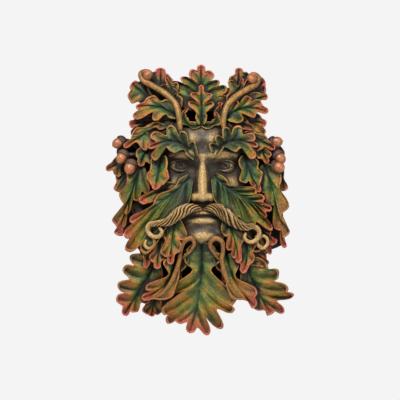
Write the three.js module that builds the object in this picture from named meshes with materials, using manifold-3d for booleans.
// A green man wall mask, cast in one piece: a bearded face that grows out of oak leaves, with two curled
// stems on the brow, acorns at the temples and a moustache that ends in rings. It hangs from a keyhole
// in its flat back. Millimetres, +Z up, the wall at y = 0 and the face towards -Y.
import * as THREE from "three";
import Module from "manifold-3d";
import { mergeVertices } from "three/addons/utils/BufferGeometryUtils.js";

const wasm = await Module();
wasm.setup();

// Driving dimensions of the whole mask.
const MASK_HEIGHT = 271; // from the lowest leaf tip to the highest
const CARVING_UNITS = 271; // the carving below is drawn on a grid this many units high
const UNIT = MASK_HEIGHT / CARVING_UNITS;
const BED_DEPTH = 50; // from the wall to the middle of the bed that the leaves lie on
const BED_FALL = 38; // how much nearer the wall the bed is at its rim
const FACE_RISE = 9; // how far the face stands out of that bed
const CORE_SINK = 10; // the solid core lies this far under the leaf bed
const CORE_EDGE = 6; // thickness of the core at its outline

// Leaves.
const TIP_THICKNESS = 5; // middle of a leaf near its tip; the blade thins from there to its rim
const KEEL_DEPTH = 12; // what backs a leaf's midrib below the bed, at its stalk
const STALK_HALF_WIDTH = 2.2;
const RIDGE_HEIGHT = 2.4; // a leaf rises this much from its veins to the notches between its lobes
const BACK_CLEARANCE = 1.2; // no leaf comes nearer the wall than this

// Acorns.
const NUT_RADIUS = 5.6;
const CUP_RADIUS = 6.8;

// Face.
const FACE_DEPTH = 59; // from the wall to the forehead
const EYEBALL_DEPTH = 40; // from the wall to the middle of the ball

// Keyhole in the back, for a round-headed screw.
const SCREW_HEAD_HOLE = 11; // width of the hole that the head goes in by
const SCREW_SLOT = 5; // width of the slot that the shank slides up
const SLOT_LIP = 3.5; // thickness of the lip that the head hooks behind
const HEAD_ROOM = 5.5; // room for the head behind the lip
const KEYHOLE_TRAVEL = 12; // from the middle of the hole to the top of the slot
const KEYHOLE_HEIGHT = 54; // middle of the hole above the origin

// Where two parts of the casting meet, corners closer together than this become one.
const JOIN_TOLERANCE = 1;

// The leaf bed is a dome, with a swelling for the face.
const BED_HALF_WIDTH = 105 * UNIT;
const BED_HALF_HEIGHT = 150 * UNIT;
const FACE_HALF_WIDTH = 42 * UNIT;
const FACE_HALF_HEIGHT = 72 * UNIT;
const FACE_MIDDLE = 18 * UNIT;

function bedDepth(x, z) {
  const radius2 = (x / BED_HALF_WIDTH) ** 2 + (z / BED_HALF_HEIGHT) ** 2;
  const swelling = Math.exp(
    -((x / FACE_HALF_WIDTH) ** 4) -
      ((z - FACE_MIDDLE) / FACE_HALF_HEIGHT) ** 4,
  );
  return BED_DEPTH - BED_FALL * radius2 ** 1.1 + FACE_RISE * swelling;
}

// Small helpers.
const mix = (a, b, t) => a + (b - a) * t;
const mixPoint = (a, b, t) => a.map((value, i) => mix(value, b[i], t));
const clamp = (value, low, high) => Math.min(high, Math.max(low, value));
const smooth = (from, to, value) => {
  const t = clamp((value - from) / (to - from), 0, 1);
  return t * t * (3 - 2 * t);
};
const bump = (x, z, width, height) =>
  Math.exp(-((x / width) ** 2) - (z / height) ** 2);

// The smooth curve through evenly spaced knots, by Lagrange's formula.
function through(knots, t) {
  const last = knots.length - 1;
  return knots.reduce((sum, knot, i) => {
    let weight = 1;
    for (let j = 0; j <= last; j++)
      if (j !== i) weight *= (t * last - j) / (i - j);
    return sum + knot * weight;
  }, 0);
}

// A point of the uniform cubic B-spline on the control points, at s knots from the first.
function spline(points, s) {
  const i = clamp(Math.floor(s), 1, points.length - 3);
  const t = s - i;
  const weights = [
    (1 - t) ** 3 / 6,
    (3 * t ** 3 - 6 * t ** 2 + 4) / 6,
    (-3 * t ** 3 + 3 * t ** 2 + 3 * t + 1) / 6,
    t ** 3 / 6,
  ];
  return [0, 1].map((axis) =>
    weights.reduce((sum, w, k) => sum + w * points[i - 1 + k][axis], 0),
  );
}

// Turns rows of [x, z, depth] points, and faces that index them, into a solid in front of the wall.
function solidOf(points, faces) {
  const geometry = new THREE.BufferGeometry();
  const flat = points.flatMap(([x, z, depth]) => [x, -depth, z]);
  geometry.setAttribute("position", new THREE.Float32BufferAttribute(flat, 3));
  geometry.setIndex(faces.flat());
  return manifoldOf(geometry);
}

function manifoldOf(geometry) {
  const bare = geometry.index ? geometry.toNonIndexed() : geometry.clone();
  bare.deleteAttribute("normal");
  bare.deleteAttribute("uv");
  const merged = mergeVertices(bare, 1e-3);
  const index = Array.from(merged.index.array);
  const kept = [];
  for (let i = 0; i < index.length; i += 3) {
    const [a, b, c] = index.slice(i, i + 3);
    if (a !== b && b !== c && c !== a) kept.push(a, b, c);
  }
  const make = (triangles) =>
    new wasm.Manifold(
      new wasm.Mesh({
        numProp: 3,
        vertProperties: merged.attributes.position.array,
        triVerts: new Uint32Array(triangles),
        tolerance: JOIN_TOLERANCE,
      }),
    );
  const made = make(kept);
  if (made.volume() > 0) return made;
  for (let i = 0; i < kept.length; i += 3)
    [kept[i + 1], kept[i + 2]] = [kept[i + 2], kept[i + 1]];
  return make(kept);
}

// An oak leaf. It has a spine of knots [x, z], a lift over the bed at each knot, and two edges. Each edge
// lists its lobes' tips from stalk to tip as [x, z, half width, cut]; cut is how deep the notch after the
// lobe goes.
const SHOULDERS = [0.35, 0.65]; // where a lobe's corners come, from the notch before it to the one after
const LEAST_COLUMNS = 2;
const SMOOTH_CUT = 0.22; // a shallower notch than this is left out
const NARROW_LOBE = 4.5; // a lobe with a smaller half width than this comes to a point
const NOTCH_PULL = 1.5; // a cubic B-spline takes two thirds of a control point's pull
const FIRST_VEIN = 0.04; // where the blade starts on the spine
const LAST_VEIN = 0.86; // where the end lobe's vein starts

// The phases at which an edge is cut into columns: its lobes' shoulders, its notches and its tip.
// A lobe with next to no notch after it is a stretch of smooth edge, and takes one column.
// A narrow lobe takes one column at its tip and one at its notch.
function phasesOf(lobes) {
  const phases = [0];
  lobes.forEach(([, , width = NARROW_LOBE, cut = 1], k) => {
    if (cut < SMOOTH_CUT) phases.push(k + 0.5);
    else if (width < NARROW_LOBE) phases.push(k + 0.5, k + 1);
    else phases.push(k + SHOULDERS[0], k + SHOULDERS[1], k + 1);
  });
  phases.push(lobes.length + SHOULDERS[0], lobes.length + 0.5);
  return phases;
}

// Splits the widest steps between phases until there are enough of them.
function filled(phases, count) {
  const fuller = [...phases];
  while (fuller.length < count) {
    const gaps = fuller.slice(1).map((phase, i) => phase - fuller[i]);
    const widest = gaps.indexOf(Math.max(...gaps));
    fuller.splice(widest + 1, 0, fuller[widest] + gaps[widest] / 2);
  }
  return fuller;
}

function leaf({ spine, lift, edges, lobe = 4.5, cut = 0.5, cup = 1.5, tilt = 0, end = lobe }) {
  const knots = spine.map(([x, z]) => [x * UNIT, z * UNIT]);
  const spineAt = (t) => [0, 1].map((axis) => through(knots.map((k) => k[axis]), t));
  const liftAt = (t) => through(lift, t) * UNIT;
  const tip = knots[knots.length - 1];
  const stalk = knots[0];
  const heading = [tip[0] - stalk[0], tip[1] - stalk[1]];
  const sideways = (lobes) =>
    lobes.reduce(
      (sum, [x, z]) =>
        sum + (heading[0] * (z * UNIT - stalk[1]) - heading[1] * (x * UNIT - stalk[0])) / lobes.length,
      0,
    );
  const firstSign = sideways(edges[0]) < sideways(edges[1]) ? -1 : 1;
  const signs = [firstSign, -firstSign];
  const across = (from, to, size, sign) => {
    const length = Math.hypot(to[0] - from[0], to[1] - from[1]) || 1;
    return [
      (sign * (to[1] - from[1]) * size) / length,
      (-sign * (to[0] - from[0]) * size) / length,
    ];
  };

  const rootAt = (count, phase) => mix(FIRST_VEIN, LAST_VEIN, phase / (count + 0.5));
  const halfOutline = (lobes, sign) => {
    const start = spineAt(0);
    const side = across(start, spineAt(0.1), STALK_HALF_WIDTH * UNIT, -sign);
    const base = [start[0] + side[0], start[1] + side[1]];
    const ends = [...lobes, [...spine[spine.length - 1], end]];
    const corners = ends.map(([x, z, width = lobe], k) => {
      const point = [x * UNIT, z * UNIT];
      const root = spineAt(rootAt(lobes.length, k + 0.5));
      const from = k < lobes.length ? root : spineAt(LAST_VEIN);
      const step = across(from, point, width * UNIT, sign);
      return [
        [point[0] - step[0], point[1] - step[1]],
        [point[0] + step[0], point[1] + step[1]],
      ];
    });
    const controls = [base, base];
    corners.forEach(([before, after], k) => {
      controls.push(before, after);
      if (k === lobes.length) return;
      const between = mixPoint(after, corners[k + 1][0], 0.5);
      const depth = (lobes[k][3] ?? cut) * NOTCH_PULL;
      controls.push(mixPoint(between, spineAt(rootAt(lobes.length, k + 1)), depth));
    });
    controls.push(controls[controls.length - 1]);
    return controls;
  };

  const columns = Math.max(LEAST_COLUMNS, ...edges.map((lobes) => phasesOf(lobes).length - 1));
  const phases = edges.map((lobes) => filled(phasesOf(lobes), columns + 1));
  const shares = phases[0].map((phase, i) =>
    (phase / (edges[0].length + 0.5) + phases[1][i] / (edges[1].length + 0.5)) / 2);
  const points = [];
  const faces = [];
  const grid = edges.map((lobes, e) => {
    const controls = halfOutline(lobes, signs[e]);
    return phases[e].map((phase, i) => {
      const share = shares[i];
      const t = mix(FIRST_VEIN, LAST_VEIN, share);
      const rib = spineAt(t);
      const [x, z] = i === columns ? tip : spline(controls, 1 + 3 * phase);
      const notch = (1 + Math.cos(2 * Math.PI * phase)) / 2;
      const rimLift = liftAt(mix(t, 1, share ** 2));
      const rise = cup - tilt * signs[e] * (1 - share) + RIDGE_HEIGHT * notch;
      const ribDepth = bedDepth(...rib) + liftAt(t);
      const rimDepth = Math.max(bedDepth(x, z) + rimLift + rise * UNIT, BACK_CLEARANCE + 1);
      const thinning = smooth(0.35, 1, share);
      const keel = Math.max(mix(KEEL_DEPTH * UNIT + liftAt(t), TIP_THICKNESS, thinning), TIP_THICKNESS);
      const under = Math.max(ribDepth - keel, BACK_CLEARANCE);
      return [[...rib, ribDepth], [x, z, rimDepth], [...rib, under]].map((point) => points.push(point) - 1);
    });
  });
  grid.forEach((side, e) => {
    const add = (a, b, c) => faces.push(signs[e] > 0 ? [a, b, c] : [a, c, b]);
    side.slice(1).forEach((after, i) => {
      const before = side[i];
      add(before[0], after[0], after[1]);
      add(before[0], after[1], before[1]);
      add(before[1], after[1], after[2]);
      add(before[1], after[2], before[2]);
    });
    add(side[0][0], side[0][1], side[0][2]);
  });
  return solidOf(points, faces);
}

// A round stem that tapers. Its route is knots of [x, z, lift, radius] on the bed, which the curve passes
// through.
function stem(knots, { steps = 2, sides = 5 } = {}) {
  const places = knots.map(([x, z, lift]) => {
    const [wide, high] = [x * UNIT, z * UNIT];
    return new THREE.Vector3(wide, -(bedDepth(wide, high) + lift * UNIT), high);
  });
  const route = new THREE.CatmullRomCurve3(places, false, "centripetal");
  const count = steps * (knots.length - 1);
  const points = [];
  const faces = [];
  let out = new THREE.Vector3(0, -1, 0);
  for (let i = 0; i <= count; i++) {
    const t = i / count;
    const along = route.getTangent(t);
    const side = new THREE.Vector3().crossVectors(along, out).normalize();
    out = new THREE.Vector3().crossVectors(side, along).normalize();
    const knot = Math.min(Math.floor(t * (knots.length - 1)), knots.length - 2);
    const radius = mix(knots[knot][3], knots[knot + 1][3], t * (knots.length - 1) - knot) * UNIT;
    const place = route.getPoint(t);
    for (let j = 0; j < sides; j++) {
      const angle = (2 * Math.PI * j) / sides;
      const point = place
        .clone()
        .addScaledVector(side, radius * Math.cos(angle))
        .addScaledVector(out, radius * Math.sin(angle));
      points.push([point.x, point.z, -point.y]);
    }
  }
  for (let i = 0; i < count; i++)
    for (let j = 0; j < sides; j++) {
      const [a, b] = [i * sides + j, i * sides + ((j + 1) % sides)];
      faces.push([a, b, b + sides], [a, b + sides, a + sides]);
    }
  for (let j = 1; j < sides - 1; j++) {
    const last = count * sides;
    faces.push([0, j + 1, j], [last, last + j, last + j + 1]);
  }
  return solidOf(points, faces);
}

// The core: what the leaves are backed by, flat behind and domed in front, drawn a little inside their
// outline.
const CORE_STATIONS = [
  // [height, half width on the left, half width on the right]
  [-110, 38, 22],
  [-101, 45, 36],
  [-88, 52, 52],
  [-66, 58, 60],
  [-51, 62, 68],
  [-46, 66, 82],
  [-33, 79, 84],
  [20, 76, 80],
  [45, 66, 66],
  [75, 58, 58],
  [98, 55, 55],
  [108, 50, 50],
  [113, 40, 40],
];
const CORE_COLUMNS = 6;

function core() {
  const points = [];
  const faces = [];
  const [lowest, highest] = [CORE_STATIONS[0][0], CORE_STATIONS[CORE_STATIONS.length - 1][0]];
  CORE_STATIONS.forEach(([height, left, right]) => {
    const z = height * UNIT;
    const nearEnd = Math.abs((2 * (height - lowest)) / (highest - lowest) - 1);
    for (let j = 0; j <= CORE_COLUMNS; j++) {
      const u = Math.sin(Math.PI * (j / CORE_COLUMNS - 0.5));
      const x = u * (u < 0 ? left : right) * UNIT;
      const fullness = (1 - Math.abs(u) ** 14) * (1 - nearEnd ** 14);
      const depth = mix(CORE_EDGE, bedDepth(x, z) - CORE_SINK, fullness);
      points.push([x, z, Math.max(depth, CORE_EDGE)]);
    }
    points.push([-left * UNIT, z, 0], [right * UNIT, z, 0]);
  });
  const row = CORE_COLUMNS + 3;
  const rows = CORE_STATIONS.length;
  const [backLeft, backRight] = [CORE_COLUMNS + 1, CORE_COLUMNS + 2];
  for (let i = 0; i < rows - 1; i++) {
    const ring = [backLeft, ...Array.from({ length: CORE_COLUMNS + 1 }, (_, j) => j), backRight];
    ring.forEach((a, k) => {
      const b = ring[(k + 1) % ring.length];
      const [p, q] = [i * row + a, i * row + b];
      faces.push([p, q, q + row], [p, q + row, p + row]);
    });
  }
  for (const [start, flip] of [[0, false], [(rows - 1) * row, true]])
    for (let j = 0; j <= CORE_COLUMNS; j++) {
      const a = start + backLeft;
      const b = start + j;
      const c = start + (j < CORE_COLUMNS ? j + 1 : backRight);
      faces.push(flip ? [a, b, c] : [a, c, b]);
    }
  return solidOf(points, faces);
}

// The face. Its features stand at the places that drawing books give, in shares of the head.
const FACE_X = 1.5; // middle of the face
const HAIRLINE = 88;
const CHIN = -46;
const THIRD = (HAIRLINE - CHIN) / 3;
const BROW = HAIRLINE - THIRD;
const NOSE_BASE = BROW - THIRD;
const EYE_WIDTH = 22; // the head is five of these wide
const EYE_LINE = BROW - 0.2 * THIRD;
const MOUTH_LINE = NOSE_BASE - THIRD / 3;
const FACE_PATCH = { wide: 46, narrow: 21, low: -50, high: 78, columns: 12, rows: 15 };

function faceDepth(x, z) {
  const s = Math.abs(x);
  const head = FACE_DEPTH - 30 * (s / 56) ** 2.3 - 12 * smooth(58, 90, z) - 16 * smooth(-36, -54, z);
  const brow = 3.5 * bump(s - 17, z - BROW - 1, 17, 6);
  const socket = -8.5 * bump(s - EYE_WIDTH, z - EYE_LINE + 1, 14.5, 9.5);
  const cheek = 4.5 * bump(s - 31, z - 13, 14, 11);
  const slope = smooth(BROW - 2, NOSE_BASE + 5, z);
  const ridge = mix(2, 15, slope) * bump(s, 0, mix(4.5, 7, slope), 1);
  const bridge = 1 - 0.7 * smooth(BROW - 2, BROW + 6, z);
  const nose = ridge * smooth(NOSE_BASE - 2.5, NOSE_BASE + 2.5, z) * bridge;
  const wing = 7 * bump(s - 8.5, z - NOSE_BASE - 4, 4, 5);
  const muzzle = 3.5 * bump(s, z - MOUTH_LINE, 22, 17);
  const upperLip = 2.2 * bump(s, z - MOUTH_LINE - 3, 14, 3);
  const lowerLip = 3 * bump(s, z - MOUTH_LINE + 4.5, 11, 3.4);
  const mouth = -2.6 * bump(s, z - MOUTH_LINE - 0.3, 15, 1.6);
  const chin = 5 * bump(s, z - CHIN - 9, 12, 8);
  return head + brow + socket + cheek + nose + wing + muzzle + upperLip + lowerLip + mouth + chin;
}

function facePatch() {
  const { wide, narrow, low, high, columns, rows } = FACE_PATCH;
  const points = [];
  const faces = [];
  const buried = 12 * UNIT;
  for (let i = 0; i <= rows; i++)
    for (let j = 0; j <= columns; j++) {
      const u = (2 * j) / columns - 1;
      const z = mix(low, high, i / rows);
      const half = mix(narrow, wide, smooth(MOUTH_LINE, EYE_LINE - 10, z));
      const x = half * (0.6 * u + 0.4 * u ** 3);
      points.push([(x + FACE_X) * UNIT, z * UNIT, faceDepth(x, z) * UNIT]);
    }
  const row = columns + 1;
  for (let i = 0; i < rows; i++)
    for (let j = 0; j < columns; j++) {
      const a = i * row + j;
      faces.push([a, a + 1, a + row + 1], [a, a + row + 1, a + row]);
    }
  const rim = [];
  for (let j = 0; j < columns; j++) rim.push(j);
  for (let i = 0; i < rows; i++) rim.push(i * row + columns);
  for (let j = columns; j > 0; j--) rim.push(rows * row + j);
  for (let i = rows; i > 0; i--) rim.push(i * row);
  const middle = points.push([FACE_X * UNIT, mix(low, high, 0.5) * UNIT, buried]) - 1;
  const behind = rim.map((k) => points.push([points[k][0], points[k][1], buried]) - 1);
  rim.forEach((a, k) => {
    const next = (k + 1) % rim.length;
    faces.push([a, behind[k], behind[next]], [a, behind[next], rim[next]]);
    faces.push([behind[k], middle, behind[next]]);
  });
  return solidOf(points, faces);
}

// One eye: the ball, and a lid that arches over it and another under it.
function eye(side) {
  const [x, z] = [FACE_X + side * EYE_WIDTH, EYE_LINE];
  const ballRadius = 0.55 * EYE_WIDTH;
  const ball = new THREE.SphereGeometry(ballRadius * UNIT, 10, 6);
  ball.translate(x * UNIT, -EYEBALL_DEPTH * UNIT, (z - 0.5) * UNIT);
  const lidKnots = (rise, thickness) =>
    [-1, 0, 1].map((u) => {
      const [lidX, lidZ] = [x + (side * u * EYE_WIDTH) / 2, z + rise * (1 - u * u) - 0.8 + 0.8 * u];
      const across = ((lidX - x) ** 2 + (lidZ - z + 0.5) ** 2) / ballRadius ** 2;
      const depth = EYEBALL_DEPTH + ballRadius * Math.sqrt(Math.max(0.1, 1 - across)) + 0.4;
      const wide = [lidX * UNIT, lidZ * UNIT];
      return [lidX, lidZ, depth - bedDepth(...wide) / UNIT, thickness * (1 - 0.5 * u * u)];
    });
  return [manifoldOf(ball), stem(lidKnots(6, 1.7)), stem(lidKnots(-4.6, 1.4))];
}

// An acorn in its cup, turned on a lathe and then aimed: middle [x, z], lift, aim [x, z, out], size.
function acorn({ at: [x, z], lift, aim: [aimX, aimZ, aimOut], size = 1 }) {
  const profile = [
    [0, -8.4],
    [CUP_RADIUS * 0.8, -6.6],
    [CUP_RADIUS, -2],
    [NUT_RADIUS * 0.9, -1.4],
    [NUT_RADIUS, 1],
    [NUT_RADIUS * 0.7, 5.4],
    [0, 7.6],
  ].map(([radius, height]) => new THREE.Vector2(radius * size * UNIT, height * size * UNIT));
  const direction = new THREE.Vector3(aimX, -aimOut, aimZ).normalize();
  const turn = new THREE.Quaternion().setFromUnitVectors(new THREE.Vector3(0, 1, 0), direction);
  const [wide, high] = [x * UNIT, z * UNIT];
  const depth = bedDepth(wide, high) + lift * UNIT;
  const geometry = new THREE.LatheGeometry(profile, 7);
  geometry.applyQuaternion(turn);
  geometry.translate(wide, -depth, high);
  return manifoldOf(geometry);
}

// The keyhole: a round hole for the screw's head, a slot above it for the shank, and room behind the lip.
function keyhole() {
  const headRoom = new THREE.Shape();
  const half = SCREW_HEAD_HOLE / 2;
  headRoom.absarc(0, 0, half, Math.PI, 0, false);
  headRoom.lineTo(half, KEYHOLE_TRAVEL);
  headRoom.absarc(0, KEYHOLE_TRAVEL, half, 0, Math.PI, false);
  headRoom.closePath();
  const mouth = new THREE.Shape();
  const shank = SCREW_SLOT / 2;
  const meet = Math.asin(shank / half);
  mouth.absarc(0, 0, half, Math.PI / 2 + meet, Math.PI / 2 - meet, false);
  mouth.lineTo(shank, KEYHOLE_TRAVEL);
  mouth.absarc(0, KEYHOLE_TRAVEL, shank, 0, Math.PI, false);
  mouth.closePath();
  const outside = 2;
  const cut = (shape, from, to) => {
    const options = { depth: to - from, bevelEnabled: false, curveSegments: 8 };
    const geometry = new THREE.ExtrudeGeometry(shape, options);
    geometry.rotateX(Math.PI / 2);
    geometry.translate(0, -from, KEYHOLE_HEIGHT);
    return manifoldOf(geometry);
  };
  return cut(mouth, -outside, SLOT_LIP + 0.01).add(cut(headRoom, SLOT_LIP, SLOT_LIP + HEAD_ROOM));
}

// The leaves, from the back layer to the front. Places are in units of the carving grid, x to the right.
const LEAVES = [
  // Crown: a tall leaf behind, and a smaller one before it.
  {
    spine: [[0, 86], [0, 110], [0, 136]], lift: [0, 0, 2], end: 5, lobe: 4,
    edges: [
      [[-31, 103, 6, 0.25], [-30, 118.5, 4.4, 0.35], [-20, 123.5, 3.4, 0.55], [-11, 129.5, 4.4, 0.5]],
      [[30, 101, 5, 0.25], [26, 113.5, 4.4, 0.3], [17.5, 118.5, 3.2, 0.5], [12, 127.5, 4.6, 0.5]],
    ],
  },
  {
    spine: [[0.5, 74], [0.5, 95], [0.3, 115]], lift: [7, 14, 15], end: 4.2, lobe: 3,
    edges: [
      [[-5.5, 84, 2.6, 0.25], [-13.5, 97.5, 3, 0.7], [-11.5, 106, 2.6, 0.6]],
      [[6, 84, 2.6, 0.25], [13.5, 97, 3, 0.7], [12, 105, 2.8, 0.6]],
    ],
  },
  // Top left, back to front.
  {
    spine: [[-44, 95], [-58, 107], [-70, 117.5]], lift: [-1, 0, 1], end: 6.2,
    edges: [[[-60, 95, 5, 0.05], [-73, 101, 6.4, 0.35]], [[-57, 121, 6, 0.15]]],
  },
  {
    spine: [[-37, 94], [-40, 113], [-40.5, 133]], lift: [0, 2, 2], end: 5.4, lobe: 4,
    edges: [[[-54, 116, 6, 0.05], [-53, 126, 5, 0.2]], [[-27, 112, 5, 0.1], [-29.5, 123, 5, 0.2]]],
  },
  {
    spine: [[-22, 88], [-27, 106], [-35.5, 123]], lift: [3, 4, 5], end: 3.2, lobe: 3,
    edges: [[[-38, 103, 4, 0.1], [-42, 114, 2.8, 0.5]], [[-20, 104, 4, 0.3], [-23.5, 118, 3, 0.5]]],
  },
  {
    spine: [[-34, 75], [-53, 78], [-72, 75]], lift: [-2, 0, 0], end: 5.6,
    edges: [[[-50, 64, 6, 0.1], [-70, 64.5, 4.6, 0.4]], [[-46, 86, 6, 0.1], [-64, 85, 5, 0.15]]],
  },
  {
    spine: [[-26, 79], [-40, 78], [-56, 71]], lift: [3, 4, 3], end: 3.4,
    edges: [[[-42, 70, 4, 0.2]], [[-44, 83, 4, 0.15]]],
  },
  {
    spine: [[-23, 82], [-42, 93], [-65.5, 93]], lift: [6, 10, 9], end: 3.6, cut: 0.45,
    edges: [
      [[-34, 84, 3, 0.05], [-48, 79.5, 4.4, 0.6], [-68, 81, 5.6, 0.35]],
      [[-36, 101, 5, 0.3], [-52, 104, 6, 0.25]],
    ],
  },
  // Top right, back to front.
  {
    spine: [[40, 96], [52, 112], [64.5, 119]], lift: [-1, 0, 0], end: 5.6,
    edges: [[[50, 124, 6, 0.1]], [[66, 110, 5, 0.15]]],
  },
  {
    spine: [[40, 91], [53, 100], [67, 104]], lift: [0, 1, 1], end: 4,
    edges: [[[56, 109, 5, 0.15]], [[57, 95, 5, 0.15]]],
  },
  {
    spine: [[34, 94], [37, 112], [38, 133]], lift: [-1, 1, 1], end: 5, lobe: 4,
    edges: [[[28, 112, 5, 0.1], [29.5, 124, 4.6, 0.25]], [[52, 116, 6, 0.05], [48, 127, 5, 0.2]]],
  },
  {
    spine: [[30, 92], [36, 106], [41.5, 122.5]], lift: [3, 4, 4], end: 3.2, lobe: 3,
    edges: [[[26, 105, 4, 0.1], [28.5, 121, 3.4, 0.8]], [[45, 108, 4, 0.1]]],
  },
  {
    spine: [[32, 76], [49, 79], [65.5, 75.5]], lift: [-2, 0, 0], end: 4.8,
    edges: [[[44, 88, 6, 0.1], [58, 86, 4, 0.15]], [[46, 67, 5, 0.1], [64, 65, 5, 0.4]]],
  },
  {
    spine: [[26, 81], [40, 77.5], [52.5, 71]], lift: [2, 3, 3], end: 4,
    edges: [[[46, 82, 4, 0.2]], [[36, 69, 4, 0.2]]],
  },
  {
    spine: [[24, 80], [42, 92], [67.5, 88]], lift: [6, 10, 9], end: 4.4, cut: 0.45,
    edges: [
      [[36, 100, 4, 0.4], [48.5, 104.5, 4.4, 0.35], [59.5, 100, 3.6, 0.2]],
      [[42, 78, 3.6, 0.6], [54, 82.5, 3.6, 0.4]],
    ],
  },
  // Temples.
  {
    spine: [[-54, 50], [-70, 49], [-85, 48]], lift: [-12, -11, -11], end: 5,
    edges: [[[-70, 36, 8, 0.05]], [[-70, 61, 8, 0.05]]],
  },
  {
    spine: [[-66, 42], [-80, 38], [-95.5, 30]], lift: [-8, -7, -7], end: 3.8,
    edges: [[[-76, 26, 5, 0.05], [-84, 23, 4, 0.4]], [[-84, 46, 6, 0.1]]],
  },
  {
    spine: [[-62, 33], [-75, 24], [-85, 8.5]], lift: [-8, -7, -7], end: 5,
    edges: [[[-86, 24, 6, 0.05]], [[-66, 10, 7, 0.05]]],
  },
  {
    spine: [[-34, 72], [-56, 66], [-77, 52]], lift: [3, 5, 5], end: 4.6, cut: 0.3,
    edges: [[[-44, 57, 5, 0.05], [-56.5, 49, 3, 0.7]], [[-50, 77, 6, 0.05], [-69, 67, 6, 0.1]]],
  },
  {
    spine: [[-46, 55], [-56, 47], [-60.5, 33.5]], lift: [1, 3, 3], end: 5,
    edges: [[[-66, 47, 4, 0.2]], [[-48, 36, 4, 0.4]]],
  },
  {
    spine: [[54, 52], [70, 50], [84, 45]], lift: [-12, -11, -11], end: 4,
    edges: [[[70, 62, 7, 0.05]], [[72, 34, 8, 0.05]]],
  },
  {
    spine: [[40, 62], [58, 60], [74, 50.5]], lift: [2, 4, 4], end: 3.8,
    edges: [[[50, 69, 5, 0.05], [66, 63, 4, 0.15]], [[56, 48, 5, 0.4]]],
  },
  {
    spine: [[56, 54], [62, 47], [66.5, 36.5]], lift: [1, 4, 4], end: 3.6,
    edges: [[[71, 45, 3.4, 0.3]], [[56, 42, 3.4, 0.3]]],
  },
  {
    spine: [[66, 40], [77, 28], [84, 9]], lift: [-7, -6, -6], end: 6,
    edges: [[[84, 29, 6, 0.05]], [[68, 14, 7, 0.05]]],
  },
  // The long leaves that hang down the sides.
  {
    spine: [[-59, 38], [-69, 8], [-83.5, -35]], lift: [1, 0, -3], end: 4.6, cut: 0.35, tilt: 3,
    edges: [
      [[-75, 24, 7, 0.04], [-80, 0, 7, 0.04], [-87, -24, 6, 0.04]],
      [[-51.5, 6, 5.4, 0.12], [-64.5, -1.5, 5, 0.3], [-75.5, -15, 5.4, 0.5], [-79, -26, 3, 0.2]],
    ],
  },
  {
    spine: [[61, 38], [73, 6], [83.5, -48.5]], lift: [1, 0, -3], end: 5, cut: 0.35, tilt: -3,
    edges: [
      [[58, 7.5, 5, 0.2], [67.5, -6, 6, 0.4], [76, -31, 6, 0.35]],
      [[81, 20, 8, 0.1], [84, -12, 10, 0.04], [86.5, -36, 7, 0.04]],
    ],
  },
  // Cheeks: broad leaves that fan out from beside the nose, and one leaf beside each eye.
  {
    spine: [[-20, 13], [-42, 9], [-62, -2]], lift: [0, 2, 3], end: 5,
    edges: [[[-40, -4, 7, 0.05]], [[-42, 16, 6, 0.05]]],
  },
  {
    spine: [[-9, 25], [-34, 2], [-71.5, -21.5]], lift: [2, 7, 6], end: 5, cut: 0.1,
    edges: [
      [[-17, -10, 6, 0.02], [-58, -55, 5, 0.2], [-75, -53, 5.6, 0.25], [-77.5, -38, 5.8, 0.35]],
      [[-24, 17, 5, 0.03], [-46, 0, 5, 0.03]],
    ],
  },
  {
    spine: [[14, 4], [48, -20], [75, -44]], lift: [0, 3, 3], end: 5.6,
    edges: [
      [[54, -14, 5, 0.04], [70, -33, 4.4, 0.1]],
      [[36, -36, 7, 0.04], [57, -53, 5, 0.25], [70, -55, 3.6, 0.3]],
    ],
  },
  {
    spine: [[11, 26], [38, 5], [71, -9.5]], lift: [2, 7, 6], end: 4.2, cut: 0.1,
    edges: [
      [[27, 17, 5, 0.03], [56, 10, 4, 0.2], [63.5, 3, 3.6, 0.35]],
      [[18, -8, 6, 0.02], [42, -22, 6, 0.03], [74, -27, 4.6, 0.35], [66, -17.5, 3.4, 0.5]],
    ],
  },
  {
    spine: [[-40, 46], [-43, 28], [-46, 10]], lift: [3, 6, 6], end: 3, cut: 0.1,
    edges: [[[-51, 36, 5, 0.05], [-54, 21, 4.4, 0.1]], [[-33, 37, 5, 0.05], [-33, 19.5, 4.4, 0.1]]],
  },
  {
    spine: [[44, 46], [49, 28], [58.5, 7.5]], lift: [3, 5, 6], end: 3.6, cut: 0.3,
    edges: [
      [[38, 34, 5, 0.05], [40.5, 17, 4.6, 0.35], [53, 12.5, 3.4, 0.4]],
      [[58, 36, 5, 0.05], [61, 22, 6, 0.1]],
    ],
  },
  // Beard: the outer leaves, the side leaves with a long smooth edge, and the middle leaf.
  {
    spine: [[-44, -84], [-47, -101], [-50, -117]], lift: [-4, -3, -2], end: 4.4,
    edges: [
      [[-38, -95, 5, 0.05], [-41, -114.5, 5, 0.3]],
      [[-58, -100, 5, 0.05], [-57.5, -113.5, 4.4, 0.25]],
    ],
  },
  {
    spine: [[-42, -56], [-61, -90], [-78, -116]], lift: [0, 2, 4], end: 5.4, cut: 0.4, cup: 2.5,
    edges: [
      [[-42, -84, 7, 0.05], [-54, -104, 5, 0.3], [-66, -113.5, 4.6, 0.3]],
      [[-72, -56, 5, 0.35], [-79, -67.5, 5.6, 0.42], [-84.5, -85, 6.4, 0.42], [-86, -98.5, 5.6, 0.4]],
    ],
  },
  {
    spine: [[46, -46], [57, -55], [66, -66]], lift: [0, 1, 1], end: 5,
    edges: [[[50, -66, 5, 0.1]], [[66, -54, 4, 0.1]]],
  },
  {
    spine: [[42, -58], [56, -90], [71, -115]], lift: [0, 2, 4], end: 6, cut: 0.4, cup: 2.5,
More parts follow.
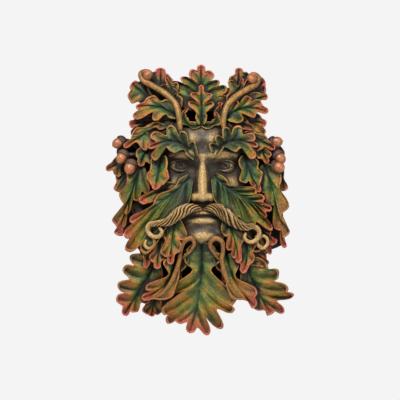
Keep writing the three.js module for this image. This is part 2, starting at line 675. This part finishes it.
    edges: [
      [
        [66, -63, 7, 0.05], [79, -74, 6.4, 0.3], [88, -88, 4.6, 0.08], [94, -97, 4, 0.45],
        [84.5, -112.5, 5.4, 0.25],
      ],
      [[44, -90, 7, 0.05], [58, -111, 7, 0.1]],
    ],
  },
  {
    spine: [[-25, -52], [-35, -83], [-62, -97.5]], lift: [7, 9, 6], end: 4.4, cut: 0.4, tilt: 2,
    edges: [[[-22, -68, 9, 0.02], [-35, -95, 10, 0.02]], [[-43, -60, 5.4, 0.8], [-56, -85, 5, 0.5]]],
  },
  {
    spine: [[25, -52], [36, -85], [55, -107]], lift: [7, 9, 7], end: 5.6, cut: 0.4, tilt: 2,
    edges: [[[43, -62, 5.4, 0.8], [57, -89, 5.4, 0.2]], [[21, -72, 9, 0.02], [38, -103, 9, 0.02]]],
  },
  {
    spine: [[0, -42], [-1, -88], [-12, -135]], lift: [3, 8, 8], end: 5.6, lobe: 6, cut: 0.5,
    edges: [
      [[22, -58, 7, 0.6], [35, -108, 9, 0.42], [21.5, -130, 6, 0.5], [7.5, -137, 5.4, 0.5]],
      [[-22, -56, 7, 0.6], [-40, -90, 6, 0.62], [-41, -114, 8, 0.25], [-25, -122.5, 4.6, 0.45]],
    ],
  },
  // Leaflets that hang from under the moustache.
  {
    spine: [[-47, -30], [-53, -50], [-54, -69]], lift: [2, 2, 3], end: 4.4,
    edges: [[], [[-61, -52, 5, 0.1]]],
  },
  {
    spine: [[-36, -26], [-42, -48], [-43.5, -69]], lift: [3, 4, 5], end: 4.6,
    edges: [[[-36, -48, 5, 0.05]], [[-50, -48, 5, 0.05]]],
  },
  {
    spine: [[-25, -14], [-29, -40], [-30.5, -64.5]], lift: [1, 6, 7], end: 4.8,
    edges: [
      [[-14, -38, 4.2, 0.35], [-20, -50, 4.4, 0.35]],
      [[-38, -36, 5, 0.05], [-39, -55, 4.4, 0.3]],
    ],
  },
  {
    spine: [[38, -30], [46, -52], [41, -73]], lift: [3, 4, 5], end: 4.4,
    edges: [[[55, -52, 5, 0.1]], [[38, -52, 5, 0.1]]],
  },
  {
    spine: [[24, -14], [33, -38], [37.5, -63]], lift: [1, 6, 7], end: 4.2,
    edges: [[[43, -40, 5, 0.05]], [[22, -36, 4.2, 0.35], [27, -50.5, 4.2, 0.35], [31.5, -58, 3, 0.3]]],
  },
  // Brows.
  {
    spine: [[-4.5, 40], [-25, 58], [-53, 52]], lift: [4, 9, 7], end: 4.4, cut: 0.5, cup: 2.5,
    edges: [
      [[-16, 48, 3.4, 0.04], [-32, 50, 6, 0.04], [-49, 40, 5.4, 0.5]],
      [[-7.5, 59.5, 2.8, 0.55], [-18, 69.5, 5, 0.55], [-31.5, 75, 6.2, 0.58], [-50.5, 66.5, 6.6, 0.6]],
    ],
  },
  {
    spine: [[13, 45], [31, 59], [57.5, 54]], lift: [5, 9, 7], end: 4, cut: 0.5, cup: 2.5,
    edges: [
      [
        [8, 56.5, 2.6, 0.55], [14.5, 64.5, 3.6, 0.55], [23.5, 73.5, 4.8, 0.55], [37.5, 75, 6, 0.55],
        [54.5, 64.5, 6.6, 0.55],
      ],
      [[22, 51, 3.4, 0.04], [38, 50, 5, 0.04], [54, 41.5, 5.8, 0.4]],
    ],
  },
];

// The two stems on the brow, which curl over at the top. Their left one is listed first.
const STEMS = [
  [
    [-20.5, 60, 4, 2.6], [-21.5, 80, 9, 2.8], [-25, 95, 12, 2.8], [-34, 105, 13, 2.8],
    [-47, 113.5, 13, 2.8], [-58.5, 121, 13, 3], [-60, 126.5, 14, 3], [-55.5, 128.3, 15, 3],
    [-51.5, 126, 16, 3.4], [-53.5, 124.4, 17, 3.6],
  ],
  [
    [22.5, 64, 4, 2.6], [22.5, 80, 9, 2.8], [25.5, 93, 12, 2.8], [34, 103, 13, 2.8],
    [46, 110.5, 13, 2.8], [55.5, 116.5, 13, 3], [57.5, 122, 14, 3], [53, 125.3, 15, 3],
    [49.5, 122.6, 16, 3.4], [51, 120.8, 17, 3.6],
  ],
];

// The arms of the collar that the front crown leaf stands in.
const COLLAR = [
  [
    [-1, 77, 7, 3], [-9, 76, 8, 3.2], [-15, 80.5, 9, 3], [-16.5, 87, 10, 2.6], [-14, 91.5, 11, 2.2],
    [-11.5, 89.5, 11, 1.7],
  ],
  [[-14, 79, 6, 2.8], [-20, 84, 7, 2.8], [-22, 91, 8, 2.6], [-20.5, 98, 9, 2.5], [-16.5, 97, 9, 1.9]],
  [[1, 77, 7, 3], [8, 75.5, 8, 3.2], [13.5, 77.5, 9, 2.8], [15.5, 82, 10, 2.4], [14, 86.5, 11, 2.6]],
  [[15, 78, 6, 2.8], [19, 84, 7, 2.6], [19.5, 90, 8, 2.4], [20, 95.5, 9, 3.2]],
];

// The moustache: a thick lock from under the nose on each side, which ends in a large ring and a small one.
const MOUSTACHE = [
  [
    [-0.5, -9.5, 4, 2], [-5.5, -8, 7, 3.8], [-13, -8.6, 9, 5.6], [-22, -13.5, 9, 6.4],
    [-32.5, -21.5, 9, 4.6], [-43, -23.4, 9.5, 3.2], [-51.5, -25, 10, 2.6], [-53, -31, 10, 2.3],
    [-48, -36.2, 10, 2.2], [-41.5, -36, 10, 2.1], [-38.6, -31.5, 10, 1.9], [-41, -28, 9, 1.6],
  ],
  [
    [3.5, -9.5, 4, 2], [8.5, -8, 7, 3.8], [15.5, -8.8, 9, 5.6], [24, -14.5, 9, 6.8],
    [34, -22.5, 9, 5.6], [44, -26.8, 9.5, 3.9], [53, -26.5, 10, 2.7], [58, -32, 10, 2.4],
    [55, -39.5, 10, 2.2], [48.5, -41.8, 10, 2.1], [43.3, -37.8, 10, 1.9], [44, -33.5, 9, 1.6],
  ],
  [
    [-51, -33, 7, 1.9], [-46.5, -39, 8, 2], [-46.5, -45.5, 8, 2], [-51.5, -48.6, 8, 1.9],
    [-56, -45, 8, 1.7], [-55, -40.5, 7, 1.4],
  ],
  [
    [55, -37, 7, 2], [56.4, -44, 8, 2], [61.5, -48, 8, 1.9], [66.3, -44, 8, 1.8], [65.6, -38, 8, 1.6],
    [61, -35.8, 8, 1.5], [57.5, -39, 8, 1.4],
  ],
];

// The rolled edges that make a loop on either side of the chin.
const LOOPS = [
  [
    [-21, -60, 7, 1.6], [-20.5, -50, 8, 2.2], [-16, -40.5, 9, 2.4], [-9.5, -38, 9, 2.4],
    [-6.8, -42.5, 8, 2.1], [-10, -50, 7, 1.6], [-19, -58, 6, 1.3],
  ],
  [
    [19.5, -60, 7, 1.6], [22.2, -50, 8, 2.1], [20.5, -41, 9, 2.4], [14, -38, 9, 2.4],
    [9.2, -42.5, 8, 2.2], [11, -50, 7, 1.8], [18, -59, 6, 1.4],
  ],
];

// Acorns at the temples, on twigs from behind the leaves.
const ACORNS = [
  { at: [-82, 57.5], lift: 3, aim: [-8, -3, 4], size: 0.95 },
  { at: [-79, 43], lift: 6, aim: [-3, -5, 6], size: 0.95 },
  { at: [-70.5, 33], lift: 5, aim: [-3, -5, 6] },
  { at: [74.5, 58], lift: 3, aim: [7, 1, 4], size: 0.95 },
  { at: [78.5, 42.5], lift: 5, aim: [5, -5, 5], size: 0.95 },
  { at: [76.5, 33], lift: 5, aim: [6, 3, 6] },
];
const TWIGS = [
  [[-58, 47, -12, 3.2], [-68, 57, -4, 2.6], [-79.5, 59.5, 0, 3]],
  [[-58, 47, -12, 3.2], [-71, 45, -2, 2.6], [-78, 46, 1, 3], [-70, 35, 1, 3]],
  [[58, 47, -12, 3.2], [66, 54, -4, 2.6], [72, 57, 0, 3]],
  [[58, 47, -12, 3.2], [69, 46, -2, 2.6], [76, 45, 1, 3], [72, 33, 1, 3]],
];

// Joins the parts of the casting, and leaves out the shells of any pocket that they seal between them.
function joined(parts) {
  const whole = parts.reduce((sum, part) => sum.add(part));
  const { numProp, vertProperties, triVerts } = whole.getMesh();
  const owner = Array.from({ length: vertProperties.length / numProp }, (_, i) => i);
  const find = (i) => {
    while (owner[i] !== i) i = owner[i] = owner[owner[i]];
    return i;
  };
  for (let i = 0; i < triVerts.length; i += 3) {
    owner[find(triVerts[i])] = find(triVerts[i + 1]);
    owner[find(triVerts[i + 1])] = find(triVerts[i + 2]);
  }
  const counts = new Map();
  for (const vertex of triVerts) counts.set(find(vertex), (counts.get(find(vertex)) ?? 0) + 1);
  const largest = [...counts].reduce((best, entry) => (entry[1] > best[1] ? entry : best))[0];
  const geometry = new THREE.BufferGeometry();
  const positions = new Float32Array((vertProperties.length / numProp) * 3);
  for (let i = 0; i < positions.length / 3; i++)
    positions.set(vertProperties.subarray(i * numProp, i * numProp + 3), i * 3);
  geometry.setAttribute("position", new THREE.BufferAttribute(positions, 3));
  geometry.setIndex(Array.from(triVerts).filter((vertex) => find(vertex) === largest));
  return geometry;
}

const casting = [
  core(),
  facePatch(),
  ...[-1, 1].flatMap(eye),
  ...LEAVES.map(leaf),
  ...MOUSTACHE.map((knots) => stem(knots)),
  ...[...STEMS, ...LOOPS, ...COLLAR].map((knots) => stem(knots, { sides: 4 })),
  ...TWIGS.map((knots) => stem(knots, { steps: 1, sides: 4 })),
  ...ACORNS.map(acorn),
];
const [first, ...others] = casting;
const whole = others.reduce((sum, part) => sum.add(part), first).subtract(keyhole());

const paintedResin = new THREE.MeshStandardMaterial({ color: 0x5a5a2c, roughness: 0.55, metalness: 0 });
const mask = new THREE.Mesh(joined([whole]), paintedResin);
mask.name = "green_man_mask";

const group = new THREE.Group();
group.add(mask);
export default group;
